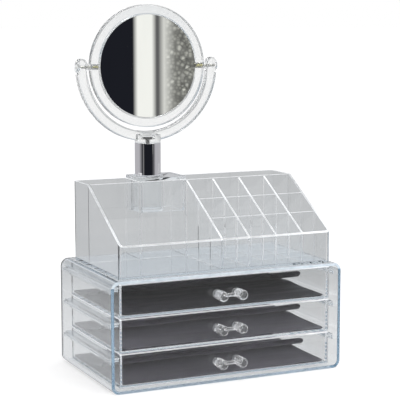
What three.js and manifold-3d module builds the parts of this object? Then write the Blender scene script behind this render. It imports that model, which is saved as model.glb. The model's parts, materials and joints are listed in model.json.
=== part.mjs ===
// Clear desktop make-up organizer: a three-drawer chest, a divided tray that stands on it,
// and a round two-sided mirror on a chrome post.
// Millimetres, +Z up, front towards -Y. The origin is the middle of the chest's underside.
import * as THREE from 'three';
import { mergeVertices } from 'three/addons/utils/BufferGeometryUtils.js';
import Module from 'manifold-3d';

const wasm = await Module();
wasm.setup();

// Fits
const seatGap = 0.3; // between two pieces that are bonded or rest on each other
const turnGap = 0.35; // round a pin or post that turns or lifts
const slideGap = 0.8; // at each side of a drawer's runner
const overrun = 2; // how far a cut passes its piece

// Chest casing
const casingWidth = 240;
const casingDepth = 138;
const casingHeight = 105;
const casingWall = 3;
const casingCornerRadius = 8;
const casingBackThickness = 2.7;

// Drawers
const drawerCount = 3;
const runnerSpace = 7; // between a drawer front's end and the casing wall
const drawerRecess = 5.3; // drawer front behind the casing's front edge
const drawerSpacing = 1; // above and below each drawer
const drawerRearSpace = 4.2;
const drawerFrontThickness = 2.5;
const drawerFrontChamfer = 0.6;
const drawerFrontOverhang = 0.8; // drawer front past the drawer's side wall
const drawerWall = 2;
const drawerFloor = 2;
const flangeThickness = 1.8;
const flangeDrop = 3; // flange below the drawer's rim

// Guide rails
const railThickness = 1.8;
const railLegHeight = 3.5;
const railLegThickness = 1.6;
const railRearSpace = 1;

// Drawer handles
const handleSpan = 20.4; // between the two cups' axes
const handleDrop = 1.6; // below the middle of the drawer front
const cupLength = 12.8;
const cupRadius = 4.8;
const cupBaseRadius = 4.4;
const cupNeck = 5; // length over which the cup widens
const cupRim = 0.4;
const cupBoreRadius = 3.6;
const cupBoreDepth = 9.4;
const barRadius = 1.7;
const barStandOff = 6.2;
const pinRadius = 2;
const pinOvershoot = 1.1;
const clipRadius = 4.3;
const clipThickness = 1.2;

// Drawer mats
const matThickness = 0.8;
const matEdgeSpace = 1;
const matCornerRadius = 4.5;
const matFoldGap = 0.5;
const matFlatLengths = [44, 31, 23]; // folded part that lies on the mat, bottom drawer first
const matRampLengths = [27.5, 34, 41.5]; // part that springs up towards the front
const matRampAngle = 10.8; // degrees
const matCurlRadius = 12.4; // the free end curls up
const matCurlAngle = 68; // degrees
const matCurlSteps = 8;

// Tray
const trayWidth = 220;
const trayDepth = 123;
const trayHeight = 78.2;
const trayFrontHeight = 30.1;
const traySetback = 2.8; // behind the casing's front edge
const trayWall = 2.4;
const trayFloor = 2.2;
const trayCornerRadius = 5;
const rearBayDepth = 40; // outside of the back wall to the middle of the cross wall
const crossWallThickness = 2;

// Lipstick cells
const partitionThickness = 1.8;
const cellColumns = 4;
const cellRows = 3;
const cellBlockWidth = 114; // right wall's inner face to the first partition
const slotGap = 0.3;

// Socket block in the rear bay
const bayWidth = 49.1; // between the two bay walls' middles
const postOffset = 8.45; // post to the left of the bay's middle
const blockClearance = 0.4;
const blockSkirtWall = 2;
const blockSkirtHeight = 31;
const blockTopThickness = 3;
const blockTopOverlap = 1.9; // top plate past the skirt
const blockCornerRadius = 4;
const socketWall = 1.5;
const socketFloor = 2;
const socketLipHeight = 1.5;

// Mirror post
const postRadius = 12.8;
const postWall = 1.2;
const postLength = 32.4;
const footPlugHeight = 12; // part of the foot plug inside the post
const topPlugHeight = 14;

// Mirror
const glassRadius = 50;
const glassThickness = 2;
const glassEdge = 0.4;
const frameBand = 9.5; // glass edge to the frame's outer edge
const frameDepth = 9;
const frameEdge = 1.3;
const webThickness = 1.6;
const webReach = 3.2;

// Yoke
const yokeSpace = 4; // between the mirror frame and the yoke
const yokeBand = 10; // inner to outer edge of the arch
const yokeDepth = 9;
const yokeBevel = 1.4;
const earRise = 8; // yoke end above the mirror's axis
const earSeatDepth = 2.5; // flat for the knob
const earSeatReach = 7.2;
const bossHeight = 8;
const bossRootDepth = 1.2; // boss underside to the yoke's lowest point
const bossRim = 0.6;

// Stud that joins the yoke to the post
const studRadius = 1.6;
const studRise = 3.6; // boss underside to the head
const studHeadRadius = 4.8;
const studHeadHeight = 2;
const studDown = 11; // post top to the foot
const studFootRadius = 5;
const studFootHeight = 2.4;

// Mirror pivots
const screwRadius = 1.3;
const screwTipSpace = 0.4; // screw tip to the insert's inner end
const insertRadius = 2.4;
const insertLength = 6.2;
const insertCover = 1.7; // frame left between the glass and the insert
const spacerRadius = 3.6;
const knobRadius = 6.2;
const knobThickness = 2.6;
const knobCrown = 1.2;

// Facet counts
const cornerSteps = 3;
const roundSteps = 20;
const ringSteps = 56;
const archSteps = 36;

// Places worked out from the sizes
const casingFrontY = -casingDepth / 2;
const casingBackInnerY = casingDepth / 2 - casingBackThickness;
const casingInnerHalf = casingWidth / 2 - casingWall;
const drawerWidth = casingWidth - 2 * (casingWall + runnerSpace);
const drawerHeight = (casingHeight - 2 * casingWall - (drawerCount + 1) * drawerSpacing) / drawerCount;
const drawerFrontY = casingFrontY + drawerRecess;
const drawerRearY = casingBackInnerY - drawerRearSpace;
const drawerSideX = drawerWidth / 2 - drawerFrontOverhang;
const trayFrontY = casingFrontY + traySetback;
const trayBackY = trayFrontY + trayDepth;
const trayBottomZ = casingHeight + seatGap;
const trayTopZ = trayBottomZ + trayHeight;
const trayFloorZ = trayBottomZ + trayFloor;
const trayInnerHalf = trayWidth / 2 - trayWall;
const crossWallY = trayBackY - rearBayDepth;
const cellLeftX = trayInnerHalf - cellBlockWidth;
const bayLeftX = cellLeftX - bayWidth;
const bayX = (cellLeftX + bayLeftX) / 2;
const mirrorX = bayX - postOffset;
const bayFrontY = crossWallY + crossWallThickness / 2;
const bayBackY = trayBackY - trayWall;
const mirrorY = (bayFrontY + bayBackY) / 2;
const blockTopZ = trayTopZ + seatGap + blockTopThickness;
const blockBottomZ = trayTopZ + seatGap - blockSkirtHeight;
const socketRadius = postRadius + turnGap;
const footZ = blockBottomZ + socketFloor + seatGap;
const postBottomZ = blockTopZ + seatGap;
const postTopZ = postBottomZ + postLength;
const bossBottomZ = postTopZ + seatGap;
const frameOuterRadius = glassRadius + frameBand;
const yokeInnerRadius = frameOuterRadius + yokeSpace;
const yokeOuterRadius = yokeInnerRadius + yokeBand;
const insertInner = glassRadius + seatGap + insertCover;
const insertOuter = insertInner + insertLength;
const mirrorZ = bossBottomZ + bossRootDepth + yokeOuterRadius;

const clearPlastic = { color: 0xdde8ee, roughness: 0.06, metalness: 0, transparent: true, opacity: 0.4 };
const clearTrim = { color: 0xf0f4f5, roughness: 0.05, metalness: 0, transparent: true, opacity: 0.5 };
const chrome = { color: 0xd8dadc, roughness: 0.06, metalness: 1 };
const steel = { color: 0xb9b8b0, roughness: 0.25, metalness: 1 };
const blackSteel = { color: 0x1c1d20, roughness: 0.3, metalness: 1 };
const brass = { color: 0xb0a860, roughness: 0.3, metalness: 1 };
const silvered = { color: 0xe9edef, roughness: 0.02, metalness: 1 };
const matCloth = { color: 0x3b3a3d, roughness: 0.75, metalness: 0 };
const plugPlastic = { color: 0xe6e8e8, roughness: 0.4, metalness: 0 };

const organizer = new THREE.Group();

// Solids

function solid(geometry) {
  const bare = geometry.index ? geometry.toNonIndexed() : geometry.clone();
  bare.deleteAttribute('normal');
  bare.deleteAttribute('uv');
  const merged = mergeVertices(bare, 1e-4);
  return new wasm.Manifold(new wasm.Mesh({
    numProp: 3,
    vertProperties: new Float32Array(merged.attributes.position.array),
    triVerts: new Uint32Array(merged.index.array),
  }));
}

function addPiece(name, body, look) {
  const mesh = body.getMesh();
  const geometry = new THREE.BufferGeometry();
  geometry.setAttribute('position', new THREE.BufferAttribute(new Float32Array(mesh.vertProperties), 3));
  geometry.setIndex(new THREE.BufferAttribute(new Uint32Array(mesh.triVerts), 1));
  geometry.computeVertexNormals();
  const piece = new THREE.Mesh(geometry, new THREE.MeshStandardMaterial({ name, ...look }));
  piece.name = name;
  organizer.add(piece);
}

// A block between two corners.
function block(x0, x1, y0, y1, z0, z1) {
  const geometry = new THREE.BoxGeometry(x1 - x0, y1 - y0, z1 - z0);
  geometry.translate((x0 + x1) / 2, (y0 + y1) / 2, (z0 + z1) / 2);
  return solid(geometry);
}

function roundedOutline(x0, x1, y0, y1, radius) {
  const outline = new THREE.Shape();
  outline.moveTo(x0 + radius, y0);
  outline.absarc(x1 - radius, y0 + radius, radius, -Math.PI / 2, 0);
  outline.absarc(x1 - radius, y1 - radius, radius, 0, Math.PI / 2);
  outline.absarc(x0 + radius, y1 - radius, radius, Math.PI / 2, Math.PI);
  outline.absarc(x0 + radius, y0 + radius, radius, Math.PI, 1.5 * Math.PI);
  return outline;
}

function extruded(outline, length, bevel = 0) {
  return new THREE.ExtrudeGeometry(outline, {
    depth: length - 2 * bevel,
    bevelEnabled: bevel > 0,
    bevelSize: bevel,
    bevelThickness: bevel,
    bevelOffset: -bevel,
    bevelSegments: 1,
    curveSegments: cornerSteps,
  }).translate(0, 0, bevel);
}

// An outline drawn in X and Z, running from y0 to y1.
function alongY(outline, y0, y1, bevel = 0) {
  return solid(extruded(outline, y1 - y0, bevel).rotateX(Math.PI / 2).translate(0, y1, 0));
}

// An outline drawn in Y and Z, running from x0 to x1.
function alongX(outline, x0, x1) {
  const turn = new THREE.Matrix4().makeBasis(
    new THREE.Vector3(0, 1, 0), new THREE.Vector3(0, 0, 1), new THREE.Vector3(1, 0, 0));
  return solid(extruded(outline, x1 - x0).applyMatrix4(turn).translate(x0, 0, 0));
}

// An outline drawn in X and Y, running from z0 to z1.
function alongZ(outline, z0, z1) {
  return solid(extruded(outline, z1 - z0).translate(0, 0, z0));
}

function polygon(points) {
  return new THREE.Shape(points.map(([x, y]) => new THREE.Vector2(x, y)));
}

// Points along an arc, both ends included.
function arc(x, y, radius, from, to, steps) {
  return Array.from({ length: steps + 1 }, (_, step) => {
    const angle = from + (to - from) * step / steps;
    return [x + radius * Math.cos(angle), y + radius * Math.sin(angle)];
  });
}

// A turned solid from [radius, height] points; its axis is then laid along X, Y or Z.
function turned(points, axis, steps = roundSteps) {
  const geometry = new THREE.LatheGeometry(points.map(([r, h]) => new THREE.Vector2(r, h)), steps);
  if (axis === 'z') geometry.rotateX(Math.PI / 2);
  if (axis === 'x') geometry.rotateZ(-Math.PI / 2);
  return solid(geometry);
}

function rod(radius, from, to, axis, steps = roundSteps) {
  return turned([[0, from], [radius, from], [radius, to], [0, to]], axis, steps);
}

// Chest casing

function makeCasing() {
  const outer = roundedOutline(-casingWidth / 2, casingWidth / 2, 0, casingHeight, casingCornerRadius);
  const inner = roundedOutline(-casingInnerHalf, casingInnerHalf, casingWall,
    casingHeight - casingWall, casingCornerRadius - casingWall);
  const sleeve = alongY(outer, casingFrontY, casingBackInnerY - seatGap)
    .subtract(alongY(inner, casingFrontY - overrun, casingBackInnerY + overrun));
  addPiece('casing_sleeve', sleeve, clearPlastic);
  addPiece('casing_back', alongY(outer, casingBackInnerY, casingDepth / 2), clearPlastic);
}

function drawerBottomZ(level) {
  return casingWall + drawerSpacing + level * (drawerHeight + drawerSpacing);
}

function makeRails(level, levelName) {
  const ledgeTop = drawerBottomZ(level) + drawerHeight - flangeDrop - flangeThickness - seatGap;
  const wallFace = casingInnerHalf - seatGap;
  const ledgeEdge = drawerSideX + slideGap;
  const front = drawerFrontY + drawerFrontThickness + seatGap;
  const back = casingBackInnerY - railRearSpace;
  for (const [side, sideName] of [[-1, 'left'], [1, 'right']]) {
    const ledge = polygon([
      [side * ledgeEdge, ledgeTop - railThickness],
      [side * (wallFace - railLegThickness), ledgeTop - railThickness],
      [side * (wallFace - railLegThickness), ledgeTop - railLegHeight],
      [side * wallFace, ledgeTop - railLegHeight],
      [side * wallFace, ledgeTop],
      [side * ledgeEdge, ledgeTop],
    ]);
    addPiece(`guide_rail_${levelName}_${sideName}`, alongY(ledge, front, back), clearPlastic);
  }
}

// Drawers

function handleHoles(bottomZ, from, to, radius) {
  const z = bottomZ + drawerHeight / 2 - handleDrop;
  const left = rod(radius, from, to, 'y').translate([-handleSpan / 2, 0, z]);
  return left.add(rod(radius, from, to, 'y').translate([handleSpan / 2, 0, z]));
}

function makeDrawer(level, levelName) {
  const bottom = drawerBottomZ(level);
  const top = bottom + drawerHeight;
  const frontInner = drawerFrontY + drawerFrontThickness;
  const front = alongY(polygon([[-drawerWidth / 2, bottom], [drawerWidth / 2, bottom],
    [drawerWidth / 2, top], [-drawerWidth / 2, top]]), drawerFrontY, frontInner, drawerFrontChamfer);
  const tub = block(-drawerSideX, drawerSideX, frontInner - drawerFrontThickness / 2, drawerRearY,
    bottom, top);
  const hollow = block(-drawerSideX + drawerWall, drawerSideX - drawerWall, frontInner,
    drawerRearY - drawerWall, bottom + drawerFloor, top + overrun);
  const flangeX = casingInnerHalf - slideGap;
  const flange = block(-flangeX, flangeX, frontInner, drawerRearY,
    top - flangeDrop - flangeThickness, top - flangeDrop);
  const holes = handleHoles(bottom, drawerFrontY - overrun, frontInner + overrun, pinRadius + turnGap);
  const drawer = front.add(tub).add(flange).subtract(hollow).subtract(holes);
  addPiece(`drawer_${levelName}`, drawer, clearPlastic);
}

function makeHandle(level, levelName) {
  const bottom = drawerBottomZ(level);
  const z = bottom + drawerHeight / 2 - handleDrop;
  const seat = drawerFrontY - seatGap;
  const pinLength = seatGap + drawerFrontThickness + seatGap + clipThickness + pinOvershoot;
  const cup = () => turned([
    [0, -pinLength], [pinRadius, -pinLength], [pinRadius, 0], [cupBaseRadius, 0],
    [cupRadius, cupNeck], [cupRadius, cupLength - cupRim], [cupRadius - cupRim, cupLength],
    [cupBoreRadius, cupLength], [cupBoreRadius, cupLength - cupBoreDepth], [0, cupLength - cupBoreDepth],
  ], 'y').rotate([180, 0, 0]).translate([0, seat, z]);
  const barHalf = handleSpan / 2 - cupBoreRadius - (cupRadius - cupBoreRadius) / 2;
  const bar = rod(barRadius, -barHalf, barHalf, 'x').translate([0, seat - barStandOff, z]);
  const handle = cup().translate([-handleSpan / 2, 0, 0])
    .add(cup().translate([handleSpan / 2, 0, 0]))
    .add(bar);
  addPiece(`handle_${levelName}`, handle, clearTrim);
  const clipFrom = drawerFrontY + drawerFrontThickness + seatGap;
  const clipTo = clipFrom + clipThickness;
  const clip = rod(clipRadius, clipFrom, clipTo, 'y')
    .subtract(rod(pinRadius + turnGap, clipFrom - overrun, clipTo + overrun, 'y'));
  for (const [side, sideName] of [[-1, 'left'], [1, 'right']]) {
    const place = [side * handleSpan / 2, 0, z];
    addPiece(`handle_clip_${levelName}_${sideName}`, clip.translate(place), clearTrim);
  }
}

// Underside of a mat's folded part from its flat stretch to its free edge, as [y, z, slope].
function matFlapLine(rear, foldZ, flat, ramp) {
  const slope = THREE.MathUtils.degToRad(matRampAngle);
  const rampY = rear - flat;
  const curlY = rampY - ramp * Math.cos(slope);
  const curlZ = foldZ + ramp * Math.sin(slope);
  const curl = Array.from({ length: matCurlSteps + 1 }, (_, step) => {
    const turn = slope + (THREE.MathUtils.degToRad(matCurlAngle) - slope) * step / matCurlSteps;
    return [curlY + matCurlRadius * (Math.sin(slope) - Math.sin(turn)),
      curlZ + matCurlRadius * (Math.cos(slope) - Math.cos(turn)), turn];
  });
  return [[rampY, foldZ, slope / 2], ...curl];
}

// The mat lies on the drawer's floor; its long rear end is folded forward and springs up.
function makeMat(level, levelName) {
  const bottom = drawerBottomZ(level);
  const z0 = bottom + drawerFloor + seatGap;
  const z1 = z0 + matThickness;
  const foldZ = z1 + matFoldGap;
  const front = drawerFrontY + drawerFrontThickness + matEdgeSpace;
  const rear = drawerRearY - drawerWall - matEdgeSpace;
  const half = drawerSideX - drawerWall - matEdgeSpace;
  const crease = rear - matThickness;
  const line = matFlapLine(rear, foldZ, matFlatLengths[level], matRampLengths[level]);
  const under = line.map(([y, z]) => [y, z]);
  const over = line.map(([y, z, turn]) => [y + matThickness * Math.sin(turn),
    z + matThickness * Math.cos(turn)]);
  const flap = alongX(polygon([[rear, z0], [rear, foldZ + matThickness], ...over, ...under.reverse(),
    [crease, foldZ], [crease, z0]]), -half, half);
  const tip = Math.min(...under.map(([y]) => y));
  const lower = block(-half, half, front, rear, z0, z1);
  // Plan with its two front corners rounded, open past the rear
  const trim = (y) => alongZ(roundedOutline(-half, half, y, rear + matCornerRadius + overrun,
    matCornerRadius), z0 - overrun, bottom + drawerHeight);
  addPiece(`mat_${levelName}`, lower.intersect(trim(front)).add(flap.intersect(trim(tip))), matCloth);
}

// Tray

// Height of the tray's rim: level over the rear bay, then sloping down to the front wall.
function rimZ(y) {
  const share = (y - trayFrontY) / (crossWallY - trayFrontY);
  const sloped = trayBottomZ + trayFrontHeight + share * (trayHeight - trayFrontHeight);
  return Math.min(sloped, trayTopZ);
}

function makeTrayShell() {
  const outer = alongZ(roundedOutline(-trayWidth / 2, trayWidth / 2, trayFrontY, trayBackY,
    trayCornerRadius), trayBottomZ, trayTopZ);
  const inner = alongZ(roundedOutline(-trayInnerHalf, trayInnerHalf, trayFrontY + trayWall,
    trayBackY - trayWall, trayCornerRadius - trayWall), trayFloorZ, trayTopZ + overrun);
  const side = alongX(polygon([
    [trayFrontY - overrun, trayBottomZ - overrun], [trayBackY + overrun, trayBottomZ - overrun],
    [trayBackY + overrun, trayTopZ + overrun], [crossWallY, trayTopZ + overrun], [crossWallY, trayTopZ],
    [trayFrontY, rimZ(trayFrontY)], [trayFrontY - overrun, rimZ(trayFrontY)],
  ]), -trayWidth / 2 - overrun, trayWidth / 2 + overrun);
  addPiece('tray_shell', outer.intersect(side).subtract(inner), clearPlastic);
  addPiece('tray_cross_wall', block(-trayInnerHalf + seatGap, trayInnerHalf - seatGap,
    crossWallY - crossWallThickness / 2, crossWallY + crossWallThickness / 2,
    trayFloorZ + seatGap, trayTopZ), clearPlastic);
}

function makeCells() {
  const frontY = trayFrontY + trayWall;
  const backY = crossWallY - crossWallThickness / 2;
  const floor = trayFloorZ + seatGap;
  const half = partitionThickness / 2;
  const columnPitch = cellBlockWidth / cellColumns;
  const rowPitch = (backY - frontY) / cellRows;
  const rowYs = Array.from({ length: cellRows - 1 }, (_, row) => backY - (row + 1) * rowPitch);
  const columnXs = Array.from({ length: cellColumns }, (_, column) => cellLeftX + column * columnPitch);
  const slotHalf = half + slotGap;
  const slotZ = (y) => (floor + rimZ(y)) / 2;

  columnXs.forEach((x, column) => {
    let plate = alongX(polygon([
      [frontY + seatGap, floor], [backY - seatGap, floor],
      [backY - seatGap, rimZ(backY - seatGap)], [frontY + seatGap, rimZ(frontY + seatGap)],
    ]), x - half, x + half);
    if (column > 0) {
      for (const y of rowYs) {
        plate = plate.subtract(block(x - half - overrun, x + half + overrun,
          y - slotHalf, y + slotHalf, floor - overrun, slotZ(y)));
      }
    }
    addPiece(`cell_partition_${column + 1}`, plate, clearPlastic);
  });
  rowYs.forEach((y, row) => {
    let plate = block(cellLeftX + half + seatGap, trayInnerHalf - seatGap, y - half, y + half,
      floor, rimZ(y));
    for (const x of columnXs.slice(1)) {
      plate = plate.subtract(block(x - slotHalf, x + slotHalf,
        y - half - overrun, y + half + overrun, slotZ(y) - slotGap, trayTopZ));
    }
    addPiece(`cell_cross_partition_${row + 1}`, plate, clearPlastic);
  });
}

function makeSocketBlock() {
  const half = partitionThickness / 2;
  for (const [x, sideName] of [[bayLeftX, 'left'], [cellLeftX, 'right']]) {
    addPiece(`bay_wall_${sideName}`, block(x - half, x + half, bayFrontY + seatGap, bayBackY - seatGap,
      trayFloorZ + seatGap, trayTopZ), clearPlastic);
  }
  const skirtX = bayWidth / 2 - half - blockClearance;
  const skirtY = (bayBackY - bayFrontY) / 2 - blockClearance;
  const plan = (inset, radius) => roundedOutline(bayX - skirtX + inset, bayX + skirtX - inset,
    mirrorY - skirtY + inset, mirrorY + skirtY - inset, radius);
  const plateZ = blockTopZ - blockTopThickness;
  const skirt = alongZ(plan(0, blockCornerRadius - blockTopOverlap), blockBottomZ, plateZ + overrun)
    .subtract(alongZ(plan(blockSkirtWall, seatGap), blockBottomZ - overrun, plateZ));
  const plate = alongZ(plan(-blockTopOverlap, blockCornerRadius), plateZ, blockTopZ);
  const tube = rod(socketRadius + socketWall, blockBottomZ, blockTopZ + socketLipHeight, 'z', ringSteps);
  const bore = rod(socketRadius, blockBottomZ + socketFloor, blockTopZ + overrun, 'z', ringSteps);
  const upright = tube.translate([mirrorX, mirrorY, 0]);
  const cut = bore.translate([mirrorX, mirrorY, 0]);
  addPiece('socket_block', skirt.add(plate).add(upright).subtract(cut), clearPlastic);
}

// Mirror stand

function makePost() {
  const place = [mirrorX, mirrorY, 0];
  const boreRadius = postRadius - postWall;
  const plugRadius = boreRadius - seatGap;
  addPiece('mirror_post', turned([[boreRadius, postBottomZ], [postRadius, postBottomZ],
    [postRadius, postTopZ], [boreRadius, postTopZ], [boreRadius, postBottomZ]], 'z', ringSteps)
    .translate(place), chrome);
  const plugTopZ = postBottomZ + footPlugHeight;
  addPiece('post_foot_plug', turned([[0, footZ], [postRadius, footZ], [postRadius, blockTopZ],
    [plugRadius, blockTopZ], [plugRadius, plugTopZ], [0, plugTopZ]], 'z', ringSteps)
    .translate(place), clearTrim);
  const studBore = studRadius + turnGap;
  const footBore = studFootRadius + turnGap;
  const studFootZ = postTopZ - studDown;
  const headZ = bossBottomZ + studRise;
  const headTopZ = headZ + studHeadHeight;
  addPiece('post_top_plug', turned([[studBore, studFootZ + seatGap], [footBore, studFootZ + seatGap],
    [footBore, postTopZ - topPlugHeight], [plugRadius, postTopZ - topPlugHeight], [plugRadius, postTopZ],
    [studBore, postTopZ], [studBore, studFootZ + seatGap]], 'z').translate(place), plugPlastic);
  const studEndZ = studFootZ - studFootHeight;
  addPiece('yoke_stud', turned([[0, studEndZ], [studFootRadius, studEndZ], [studFootRadius, studFootZ],
    [studRadius, studFootZ], [studRadius, headZ], [studHeadRadius, headZ],
    [studHeadRadius, headTopZ], [0, headTopZ]], 'z').translate(place), blackSteel);
}

function makeYoke() {
  const tip = (yokeOuterRadius - yokeInnerRadius) / 2;
  const middle = yokeInnerRadius + tip;
  const outline = polygon([
    ...arc(0, 0, yokeOuterRadius, Math.PI, 2 * Math.PI, archSteps),
    ...arc(middle, earRise - tip, tip, 0, Math.PI, 2 * cornerSteps),
    ...arc(0, 0, yokeInnerRadius, 2 * Math.PI, Math.PI, archSteps),
    ...arc(-middle, earRise - tip, tip, 0, Math.PI, 2 * cornerSteps),
  ]);
  const arch = alongY(outline, -yokeDepth / 2, yokeDepth / 2, yokeBevel)
    .translate([mirrorX, mirrorY, mirrorZ]);
  const boss = turned([[0, bossBottomZ], [postRadius, bossBottomZ],
    [postRadius, bossBottomZ + bossHeight - bossRim], [postRadius - bossRim, bossBottomZ + bossHeight],
    [0, bossBottomZ + bossHeight]], 'z', ringSteps).translate([mirrorX, mirrorY, 0]);
  const headZ = bossBottomZ + studRise;
  const studHole = rod(studRadius + seatGap, bossBottomZ - overrun, headZ, 'z')
    .add(rod(studHeadRadius + seatGap, headZ - seatGap, headZ + studHeadHeight + seatGap, 'z'))
    .translate([mirrorX, mirrorY, 0]);
  const pivotHole = rod(screwRadius + turnGap, -yokeOuterRadius - overrun, yokeOuterRadius + overrun, 'x')
    .translate([mirrorX, mirrorY, mirrorZ]);
  let yoke = arch.add(boss).subtract(studHole).subtract(pivotHole);
  for (const side of [-1, 1]) {
    const near = mirrorX + side * (yokeOuterRadius - earSeatDepth);
    const far = mirrorX + side * (yokeOuterRadius + overrun);
    yoke = yoke.subtract(block(Math.min(near, far), Math.max(near, far), mirrorY - yokeDepth,
      mirrorY + yokeDepth, mirrorZ - earSeatReach, mirrorZ + earSeatReach));
  }
  addPiece('mirror_yoke', yoke, clearTrim);
}

function makeMirror() {
  const place = [mirrorX, mirrorY, mirrorZ];
  const faceY = frameDepth / 2;
  const webY = webThickness / 2;
  const recess = glassRadius + seatGap;
  const webRadius = glassRadius - webReach;
  let frame = turned([
    [recess, -faceY], [frameOuterRadius - frameEdge, -faceY], [frameOuterRadius, -faceY + frameEdge],
    [frameOuterRadius, faceY - frameEdge], [frameOuterRadius - frameEdge, faceY], [recess, faceY],
    [recess, webY], [webRadius, webY], [webRadius, -webY], [recess, -webY], [recess, -faceY],
  ], 'y', ringSteps).translate(place);
  const inwards = (side, from, to, radius) => {
    const [a, b] = side < 0 ? [-from, -to] : [to, from];
    return rod(radius, a, b, 'x').translate(place);
  };
  for (const side of [-1, 1]) {
    frame = frame.subtract(inwards(side, frameOuterRadius + overrun, insertInner - seatGap,
      insertRadius + seatGap));
  }
  addPiece('mirror_frame', frame, clearTrim);
  for (const [side, faceName] of [[-1, 'front'], [1, 'back']]) {
    const inner = side * (webY + seatGap);
    const outer = side * (webY + seatGap + glassThickness);
    const edge = side * (webY + seatGap + glassThickness - glassEdge);
    const profile = [[0, inner], [glassRadius, inner], [glassRadius, edge],
      [glassRadius - glassEdge, outer], [0, outer]];
    addPiece(`mirror_glass_${faceName}`, turned(side < 0 ? profile.reverse() : profile, 'y', ringSteps)
      .translate(place), silvered);
  }
  for (const [side, sideName] of [[-1, 'left'], [1, 'right']]) {
    const knobSeat = yokeOuterRadius - earSeatDepth + seatGap;
    const insert = inwards(side, insertOuter, insertInner, insertRadius)
      .subtract(inwards(side, insertOuter + overrun, insertInner - overrun, screwRadius + seatGap));
    addPiece(`pivot_insert_${sideName}`, insert, brass);
    const screw = inwards(side, knobSeat - seatGap / 2, insertInner + screwTipSpace, screwRadius);
    addPiece(`pivot_screw_${sideName}`, screw, steel);
    const spacer = inwards(side, yokeInnerRadius - seatGap, frameOuterRadius + seatGap, spacerRadius)
      .subtract(inwards(side, yokeInnerRadius + overrun, frameOuterRadius - overrun,
        screwRadius + seatGap));
    addPiece(`pivot_spacer_${sideName}`, spacer, clearTrim);
    const knobEnd = knobSeat + knobThickness;
    const knob = turned([[0, knobSeat], [knobRadius, knobSeat], [knobRadius, knobEnd - knobCrown],
      [knobRadius - knobCrown, knobEnd], [0, knobEnd]], 'x')
      .rotate([0, 0, side < 0 ? 180 : 0]).translate(place);
    addPiece(`pivot_knob_${sideName}`, knob, clearTrim);
  }
}

makeCasing();
['bottom', 'middle', 'top'].forEach((levelName, level) => {
  makeRails(level, levelName);
  makeDrawer(level, levelName);
  makeHandle(level, levelName);
  makeMat(level, levelName);
});
makeTrayShell();
makeCells();
makeSocketBlock();
makePost();
makeYoke();
makeMirror();

export default organizer;
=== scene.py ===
"""Clear make-up organizer: drawer chest, divided tray and a round mirror on a chrome post."""
import json
import math

import bpy
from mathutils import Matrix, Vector


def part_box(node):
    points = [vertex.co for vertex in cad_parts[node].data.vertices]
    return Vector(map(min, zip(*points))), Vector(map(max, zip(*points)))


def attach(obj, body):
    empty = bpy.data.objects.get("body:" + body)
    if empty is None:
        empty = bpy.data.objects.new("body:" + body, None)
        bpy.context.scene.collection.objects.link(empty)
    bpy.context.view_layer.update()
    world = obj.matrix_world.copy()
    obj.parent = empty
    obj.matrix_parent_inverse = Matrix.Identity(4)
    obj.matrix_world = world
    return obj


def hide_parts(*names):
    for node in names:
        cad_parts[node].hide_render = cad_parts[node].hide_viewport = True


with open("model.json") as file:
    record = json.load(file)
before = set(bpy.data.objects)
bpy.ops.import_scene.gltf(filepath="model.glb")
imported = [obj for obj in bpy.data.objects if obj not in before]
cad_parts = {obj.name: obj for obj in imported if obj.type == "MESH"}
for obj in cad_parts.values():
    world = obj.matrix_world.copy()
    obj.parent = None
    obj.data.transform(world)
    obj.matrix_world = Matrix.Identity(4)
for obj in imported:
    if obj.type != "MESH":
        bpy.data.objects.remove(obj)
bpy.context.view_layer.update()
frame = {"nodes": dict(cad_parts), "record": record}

MM = 0.001
LEVELS = ("bottom", "middle", "top")
SIDES = ("left", "right")
AXES = {"x": Vector((1, 0, 0)), "y": Vector((0, 1, 0)), "z": Vector((0, 0, 1))}
RADIAL = {"x": Vector((0, 0, 1)), "y": Vector((1, 0, 0)), "z": Vector((1, 0, 0))}

# Camera of the photograph
CAMERA_PLACE = Vector((-551.28, -1187.25, 343.59)) * MM
CAMERA_AZIMUTH = -25.1
CAMERA_ELEVATION = 7.8
CAMERA_LENS = 121.67
CAMERA_SENSOR = 36.0
CAMERA_SHIFT_X = -0.010
CAMERA_SHIFT_Y = 0.001

# Mouldings and fits
CASING_CORNER = 8 * MM
CASING_WALL = 3 * MM
TRAY_CORNER = 5 * MM
TRAY_WALL = 2.4 * MM
TRAY_FLOOR = 2.2 * MM
TRAY_FRONT_HEIGHT = 30.1 * MM
CROSS_WALL_BACK = 40 * MM
MOULD_EDGE = 0.35 * MM
THIN_EDGE = 0.25 * MM
MERGE = 0.004 * MM
FASTENER_EDGE = 0.15 * MM
RING_EDGE = 1 * MM
OVERRUN = 3 * MM
FIT = 0.3 * MM

# Angles, in degrees, from which an edge is rounded or stays sharp in the shading
BEVEL_FROM = 35
SHADE_FROM = 40
TURNED_SHADE_FROM = 30

# Faces round a corner, a turned piece, a clip, a hole and a ring
CORNER_STEPS = 12
TURN_STEPS = 64
CLIP_STEPS = 40
HOLE_STEPS = 32
RING_STEPS = 144

# Pull handles
CUP_RADIUS = 4.8 * MM
CUP_BASE = 4.4 * MM
CUP_NECK = 5 * MM
CUP_LENGTH = 12.8 * MM
CUP_BORE = 3.6 * MM
CUP_BORE_DEPTH = 9.4 * MM
CUP_RIM = 0.4 * MM
BAR_RADIUS = 1.7 * MM
BAR_STAND_OFF = 6.2 * MM
PIN_RADIUS = 2 * MM

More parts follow.
